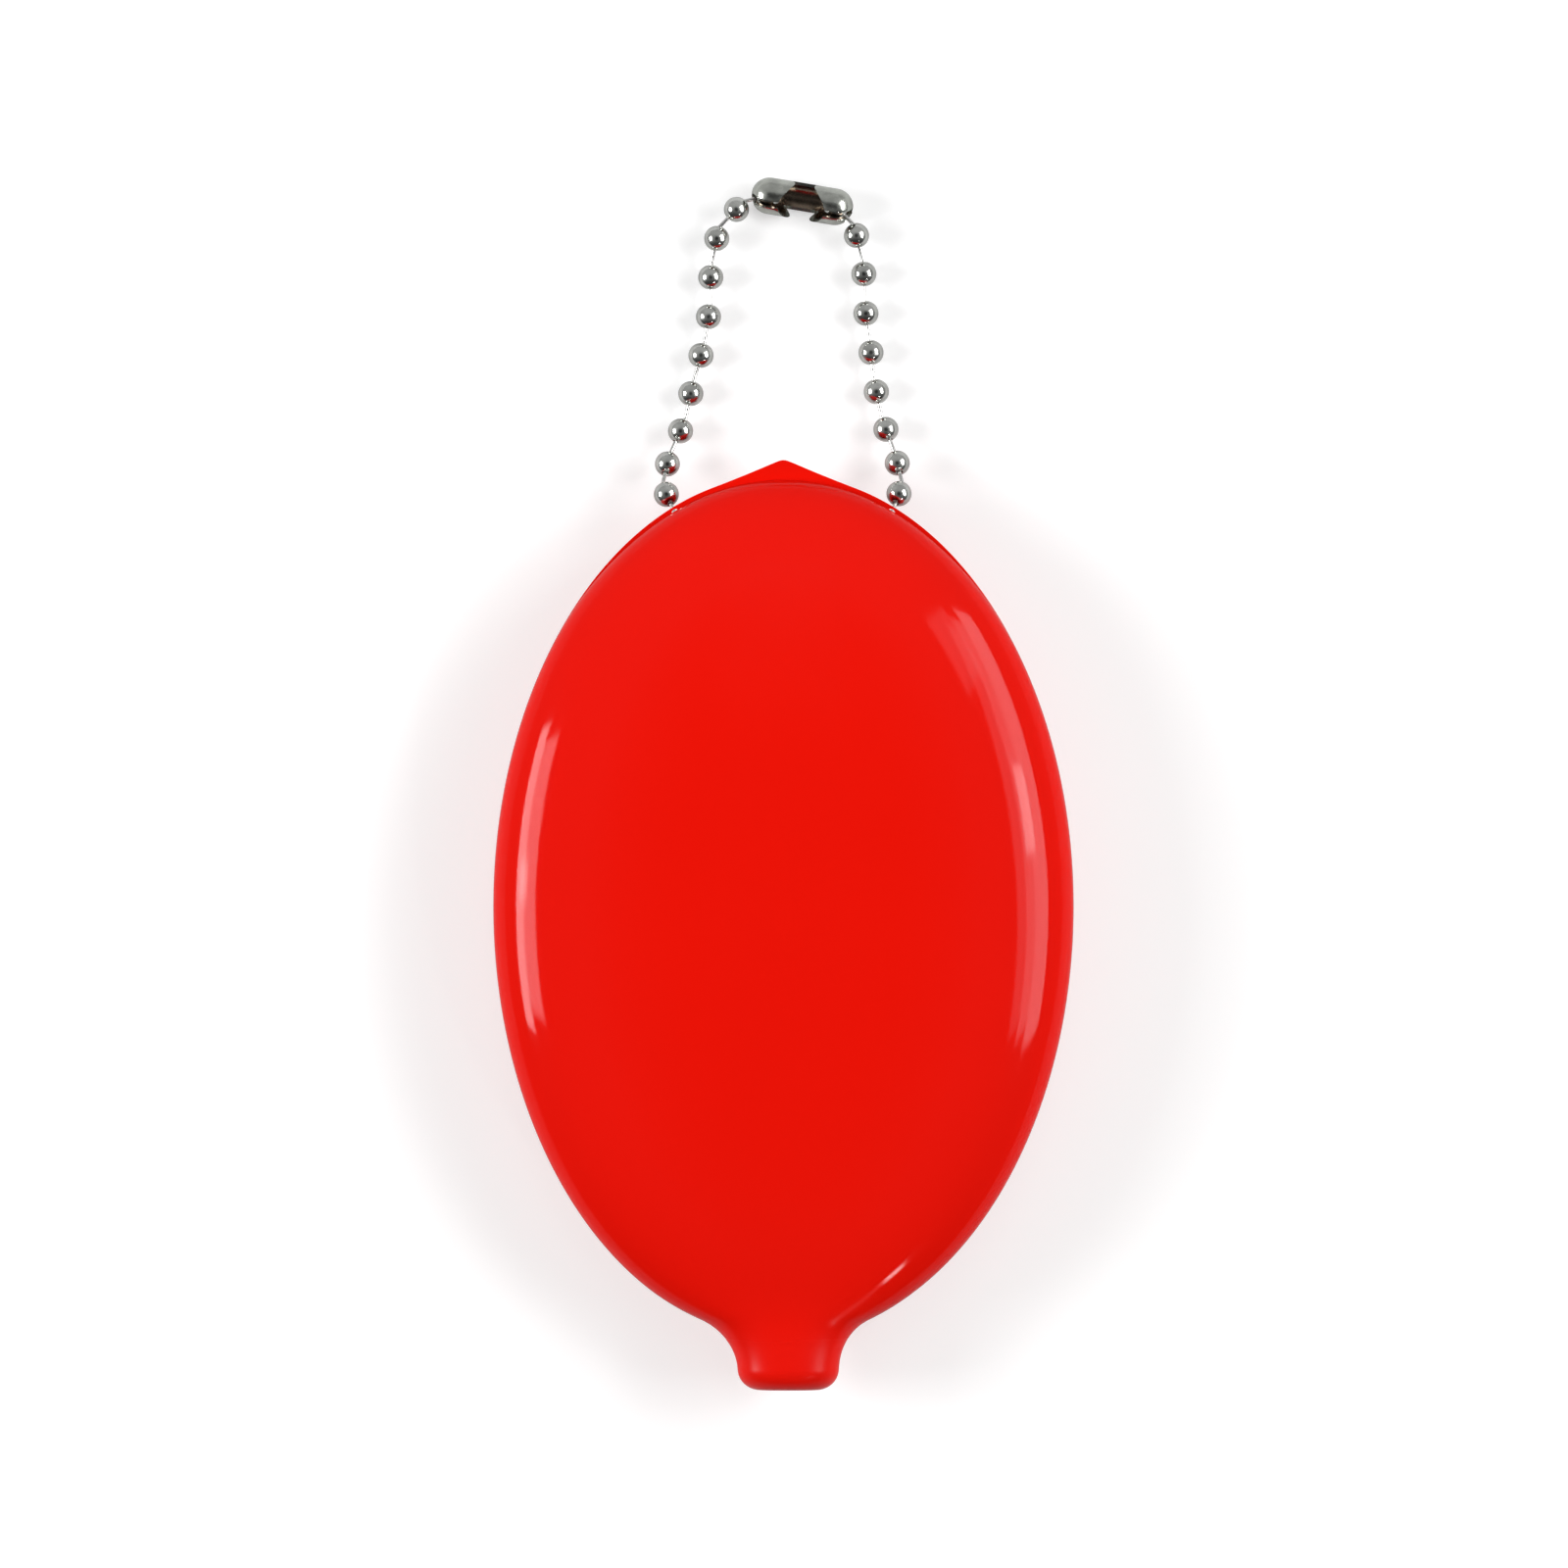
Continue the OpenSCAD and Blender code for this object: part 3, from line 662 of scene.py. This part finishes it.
VINYL = vinyl_material()
BEAD_STEEL = steel_material("bead_plating", 0.10, 0.22, (0.70, 0.71, 0.68), 2600.0)
LINK_STEEL = steel_material("link_wire", 0.22, 0.36, (0.82, 0.82, 0.80), 3200.0)
# Dark brown for the coupling's inner faces: painted shade inside the tube
INSIDE_SHADE_STEEL = steel_material("coupling_inside_painted_shade", 0.18, 0.30, (0.26, 0.20, 0.15), 2200.0)
COUPLING_STEEL = steel_material("coupling_sheet", 0.16, 0.28, (0.60, 0.62, 0.57), 2200.0)


def dress(piece, material, body, slot, *nodes):
    """Gives a finished piece its material, its body and the nodes that it stands for."""
    piece.data.materials.clear()
    piece.data.materials.append(material)
    if body:
        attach(piece, body)
    if nodes:
        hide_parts(*nodes)


# Making the pouch
def build_shell():
    """The pouch, with a hole punched at each hole bead along the mean way of its two links."""
    shell = make_object("pouch_shell", *make_shell())
    holes = []
    for k, side in HOLE_BEADS:
        way = side * (ways[k - 1] + ways[k])
        way /= np.linalg.norm(way)
        holes.append(drill(centres[k] - PUNCH_L / 2 * way, way, HOLE_R, PUNCH_L))
    cut(shell, holes)
    set_normals(shell)
    dress(shell, VINYL, "purse", "vinyl", "front_shell")


def build_lip(side, name):
    """A lip's skin, and the share of a bend over it, which is nothing at its outer edge and ends
    and
    most at the middle of the slit: an ease across the lip times (1 - (y/l)^2)^p, with l the slit's
    half length. The share is worked out but not applied, so the lip stays unbent."""
    steeper, along_power, seam = 1.15, 0.85, 1e-3
    points, faces = make_lip_mesh(side)
    lip = make_object(f"{name}_skin", points, faces)
    set_normals(lip)
    dress(lip, VINYL, None, "vinyl", name)
    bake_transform(lip)
    x, y = np.abs(points[:, 0]), points[:, 1]
    across = (lip_half_width(y) - x) / lip_half_width(y)
    along = np.clip(1 - (y / SLIT_HALF_L) ** 2, 0, 1) ** along_power
    share = smooth(across * steeper) * along
    share[across < seam] = 0


build_shell()
build_lip(-1, "left_lip")
build_lip(1, "right_lip")


# Making the chain
def bead_profile():
    """Section of a hollow bead, in the order that turns its faces outwards: an inner arc, and an
    outer one that rolls in round each pole."""
    outer_roll, inner_roll, face_roll, lip_roll = 0.07, 0.05, 0.02, 0.03
    inner_r = BEAD_R - BEAD_WALL
    start = math.asin((POLE_R + outer_roll) / BEAD_R)
    back = math.asin((POLE_R + inner_roll) / inner_r)
    a = np.linspace(start, math.pi - start, BEAD_ARC)
    b = np.linspace(math.pi - back, back, BEAD_INNER_ARC)
    outer_arc = BEAD_R * np.stack([np.sin(a), np.cos(a)], -1)
    inner_arc = inner_r * np.stack([np.sin(b), np.cos(b)], -1)
    lip_out = np.array([[POLE_R + face_roll, BEAD_R * math.cos(start)]])
    lip_in = np.array([[POLE_R, lip_roll - inner_arc[0, 1]]])
    low = np.concatenate([lip_out * [1, -1], lip_in * [1, -1]])
    return np.concatenate([outer_arc, low, inner_arc, lip_in, lip_out])[::-1]


def link_profile(length):
    """Section of a link: a ball, a pin that flares a little into it, and a ball. Starts at one
    head's centre and is as long as the heads' centres are apart."""
    neck_turn, flare, flare_from, flare_to = 0.25, 0.015, 0.08, 0.2
    a = np.linspace(math.pi, math.asin(PIN_R / HEAD_R) + neck_turn, HEAD_ARC)
    low = HEAD_R * np.stack([np.sin(a), np.cos(a)], -1)
    foot = low[-1, 1]
    flared_pin = [[PIN_R + flare, foot + flare_from], [PIN_R, foot + flare_to], [PIN_R, length / 2]]
    first = np.concatenate([low, flared_pin])
    second = first[::-1][1:].copy()
    second[:, 1] = length - second[:, 1]
    return np.concatenate([first, second])


def bead_way(k):
    """Axis of a bead, from the pole that the link before it enters to the other one."""
    if k == 1:
        return pole(1, 1) - centres[1]
    if k == BEADS:
        return centres[BEADS] - pole(BEADS, -1)
    return pole(k, 1) - pole(k, -1)


def pole(k, side):
    """Where a link passes the wall of bead k: its head's centre moved out along it."""
    if side > 0:
        return heads[k][0] + HEAD_DEPTH * ways[k]
    return heads[k - 1][1] - HEAD_DEPTH * ways[k - 1]


def build_chain():
    """Every bead along its own axis, and every link from head to head."""
    ball = bead_profile()
    for k in range(1, BEADS + 1):
        node = f"bead_{k:02d}"
        way = bead_way(k)
        bead = make_turned(f"{node}_ball", ball, centres[k], way, BEAD_STEPS, closed=True)
        dress(bead, BEAD_STEEL, body_of_node[node], "bead_steel", node)
    for k in range(1, BEADS):
        node = f"link_{k:02d}"
        a, b = heads[k]
        pin = link_profile(np.linalg.norm(b - a))
        link = make_turned(f"{node}_pin", pin, a, ways[k], LINK_STEPS)
        dress(link, LINK_STEEL, body_of_node[node], "link_steel", node)


def prism(outline, low, high, to_world):
    """A cutter from low to high over an outline, all of it in a frame that to_world places."""
    n = len(outline)
    flat = np.array([(x, y, low) for x, y in outline] + [(x, y, high) for x, y in outline], float)
    j = np.arange(n)
    k = (j + 1) % n
    sides = np.stack([j, k, k + n, j + n], -1).tolist()
    ends = [list(range(n))[::-1], list(range(n, 2 * n))]
    return make_object("prism", to_world(flat), sides + ends, smooth_faces=False)


def capsule_profile(radius, straight):
    """A bar with round ends, as (radius, height) from one tip to the other about its middle."""
    a = np.linspace(math.pi, math.pi / 2, TUBE_ARC)
    low = np.stack([radius * np.sin(a), radius * np.cos(a) - straight / 2], -1)
    heights = np.linspace(-straight / 2, straight / 2, TUBE_ROWS)[1:-1]
    middle = np.stack([np.full(len(heights), radius), heights], -1)
    return np.concatenate([low, middle, low[::-1] * [1, -1]])


def lens(a, b):
    """Outline between two arcs, 2a long and 2b wide: their radius is (a^2 + b^2) / 2b."""
    r = (a * a + b * b) / (2 * b)
    t = np.linspace(-math.asin(a / r), math.asin(a / r), WINDOW_ARC)
    x, y = r * np.sin(t), r * np.cos(t) - (r - b)
    return np.concatenate([np.stack([x, -y], -1), np.stack([x, y], -1)[-2:0:-1]])


def passage(at, leave, end, up):
    """The cut from the slot to an outlet: a wedge between the link's way and the line of the same
    slant in the middle of the slot."""
    slant = leave @ end
    line = slant * end + math.sqrt(1 - slant**2) * up
    square = np.cross(leave, line)
    square /= np.linalg.norm(square)
    side = np.cross(square, leave)

    def to_world(p):
        """Places along and beside the link's way from the bead's middle."""
        return at + p[:, :1] * leave + p[:, 1:2] * side + p[:, 2:] * square

    outline = [(0, 0), (CUT_REACH, 0), (CUT_REACH * line @ leave, CUT_REACH * line @ side)]
    return prism(outline, -SLOT_W / 2, SLOT_W / 2, to_world)


def build_coupling():
    """A rolled tube with domed ends, less its window, its slot and the links' outlets, with its
    sharp edges rounded."""
    edge_round, edge_angle = 0.00007, math.radians(40)
    middle = (centres[1] + centres[BEADS]) / 2
    way = centres[BEADS] - centres[1]
    way /= np.linalg.norm(way)
    side = np.array([-way[1], way[0], 0.0])
    up = np.array([0.0, 0.0, 1.0])
    window_up = math.cos(WINDOW_TURN) * up - math.sin(WINDOW_TURN) * side
    window_side = math.cos(WINDOW_TURN) * side + math.sin(WINDOW_TURN) * up

    def to_world(p):
        """Places along the tube, across it and up through the window from the tube's middle."""
        return middle + p[:, :1] * way + p[:, 1:2] * window_side + p[:, 2:] * window_up

    straight = COUPLING_L - 2 * COUPLING_R
    bar, core = (capsule_profile(r, straight) for r in (COUPLING_R, COUPLING_R - COUPLING_WALL))
    tube = make_turned("coupling_tube", bar, middle, way, TUBE_STEPS)
    narrow, long = SLOT_W / 2, SLOT_HALF_L
    window = lens(WINDOW_L / 2, COUPLING_R + WINDOW_PAST)
    slot = [(-long, -narrow), (long, -narrow), (long, narrow), (-long, narrow)]
    cutters = [
        make_turned("hollow", core, middle, way, TUBE_STEPS),
        prism(window, -COUPLING_R / 2, CUT_REACH, to_world),
        prism(slot, -narrow, CUT_REACH, to_world),
    ]
    for k, outlet, end in ((1, pole(2, -1), -way), (BEADS, pole(BEADS - 1, 1), way)):
        leave = outlet - centres[k]
        cutters.append(drill(centres[k], leave, OUTLET_R, CUT_REACH))
        cutters.append(passage(centres[k], leave / np.linalg.norm(leave), end, window_up))
    cut(tube, cutters)
    rounding = tube.modifiers.new("rolled_edge", "BEVEL")
    rounding.width, rounding.segments = edge_round, 2
    rounding.limit_method, rounding.angle_limit = "ANGLE", edge_angle
    apply_modifiers(tube)
    dress(tube, COUPLING_STEEL, "coupling_set", "coupling_steel", "coupling")
    show_painted_shade_inside(tube.data, middle, way, straight)


def show_painted_shade_inside(mesh, middle, way, straight):
    """Gives the second material, a dark brown that paints the shade inside the tube, to the tube's
    inner
    faces: those that look to its axis from less than the hollow's radius, with a little to spare."""
    spare = 0.03
    mesh.materials.append(INSIDE_SHADE_STEEL)
    out = values_of(mesh.polygons, "center", 3) / MM - middle
    out = out - np.clip(out @ way, -straight / 2, straight / 2)[:, None] * way
    looks_in = (out * values_of(mesh.polygons, "normal", 3)).sum(axis=1) < 0
    inside = looks_in & (np.linalg.norm(out, axis=1) < COUPLING_R - COUPLING_WALL + spare)
    mesh.polygons.foreach_set("material_index", inside.astype(np.int32))


build_chain()
build_coupling()


# Floor and light
def build_floor():
    """A plain floor just under the purse. It glows for the camera, so that it is white there and
    keeps the shadows, and it hardly glows in the metal, where it is grey."""
    size, drop = 3000.0, 0.02
    square = ((-1, -1), (1, -1), (1, 1), (-1, 1))
    corners = [(x * size, y * size, -drop) for x, y in square]
    floor = make_object("floor", corners, [(0, 1, 2, 3)], smooth_faces=False)
    material, nodes, links, shader = new_material("white_paper")
    shader.inputs["Base Color"].default_value = (0.60, 0.60, 0.60, 1)
    shader.inputs["Roughness"].default_value = 0.9
    shader.inputs["Specular IOR Level"].default_value = 0.1
    shader.inputs["Emission Color"].default_value = (1, 1, 1, 1)
    path = nodes.new("ShaderNodeLightPath")
    mirrored = ramp(nodes, links, path.outputs["Is Glossy Ray"], 0.0, 0.02)
    glow = nodes.new("ShaderNodeMapRange")
    glow.inputs["To Max"].default_value = 0.48
    links.new(mirrored, glow.inputs["To Min"])
    links.new(path.outputs["Is Camera Ray"], glow.inputs["Value"])
    links.new(glow.outputs["Result"], shader.inputs["Emission Strength"])
    floor.data.materials.append(material)


def soft_box(name, azimuth, spread, low, high, glow, mirrored=True):
    """A flat lamp 0.9 m from the middle of the pouch, which sees it spread degrees wide about the
    azimuth and from elevation low to high. glow is how bright its face is: a lamp's energy is four
    times that by its area. A lamp that isn't mirrored leaves no highlight."""
    distance = 0.9
    across, along = math.radians(azimuth), math.radians((low + high) / 2)
    level = distance * math.cos(along)
    at = Vector((level * math.cos(across), level * math.sin(across), distance * math.sin(along)))
    light = bpy.data.lights.new(name, "AREA")
    light.shape = "RECTANGLE"
    light.size = 2 * level * math.tan(math.radians(spread / 2))
    light.size_y = 2 * distance * math.tan(math.radians((high - low) / 2))
    light.energy = 4 * glow * light.size * light.size_y
    lamp = bpy.data.objects.new(name, light)
    lamp.location = at
    lamp.rotation_euler = at.to_track_quat("Z", "Y").to_euler()
    lamp.visible_glossy = mirrored
    bpy.context.scene.collection.objects.link(lamp)


def light_scene():
    """A soft box on each side, placed and sized as the highlights on the front show, brightest low
    down and in its middle, a small lamp for the glint beside the neck, and a key from the chain's
    side in a light that fades towards the neck. Gloss sees a grey room, dark overhead and towards
    the neck, and the camera sees white."""
    world = bpy.data.worlds.new("studio")
    bpy.context.scene.world = world
    world.use_nodes = True
    nodes, links = world.node_tree.nodes, world.node_tree.links
    back = nodes["Background"]
    back.inputs["Color"].default_value = (1, 1, 1, 1)
    where = nodes.new("ShaderNodeTexCoord")
    split = nodes.new("ShaderNodeSeparateXYZ")
    links.new(where.outputs["Generated"], split.inputs["Vector"])
    dark_overhead = ramp(nodes, links, split.outputs["Z"], 1.0, 0.12, (0.90, 0.985))
    dark_at_neck = ramp(nodes, links, split.outputs["Y"], 0.05, 0.45, (-0.7, 0.7))
    fading = ramp(nodes, links, split.outputs["Y"], 0.05, 0.30, (-1.0, 1.0))
    room = nodes.new("ShaderNodeMath")
    room.operation = "MULTIPLY"
    links.new(dark_overhead, room.inputs[0])
    links.new(dark_at_neck, room.inputs[1])
    path = nodes.new("ShaderNodeLightPath")
    seen = nodes.new("ShaderNodeMapRange")
    links.new(fading, seen.inputs["To Min"])
    links.new(room.outputs[0], seen.inputs["To Max"])
    links.new(path.outputs["Is Glossy Ray"], seen.inputs["Value"])
    level = nodes.new("ShaderNodeMapRange")
    links.new(seen.outputs["Result"], level.inputs["To Min"])
    links.new(path.outputs["Is Camera Ray"], level.inputs["Value"])
    links.new(level.outputs["Result"], back.inputs["Strength"])
    soft_box("left_box", 177, 32, 23, 32, 16.0)
    soft_box("left_box_top", 177, 30, 32, 42, 8.2)
    soft_box("left_lamp", 178, 4, 27, 35, 11.0)
    soft_box("right_box", 12, 53, 27, 40, 6.8)
    soft_box("right_box_middle", 12, 53, 40, 46, 4.6)
    soft_box("right_box_top", 12, 53, 46, 51, 2.0)
    soft_box("right_box_end", 36, 15, 43, 55, 1.8)
    soft_box("right_lamp", 10, 10, 37, 44, 11.0)
    soft_box("key", 90, 34, 58, 80, 0.9, mirrored=False)
    soft_box("glint_lamp", -55, 4, 33, 36, 30.0)


build_floor()
light_scene()
bpy.context.scene.view_settings.view_transform = "Standard"
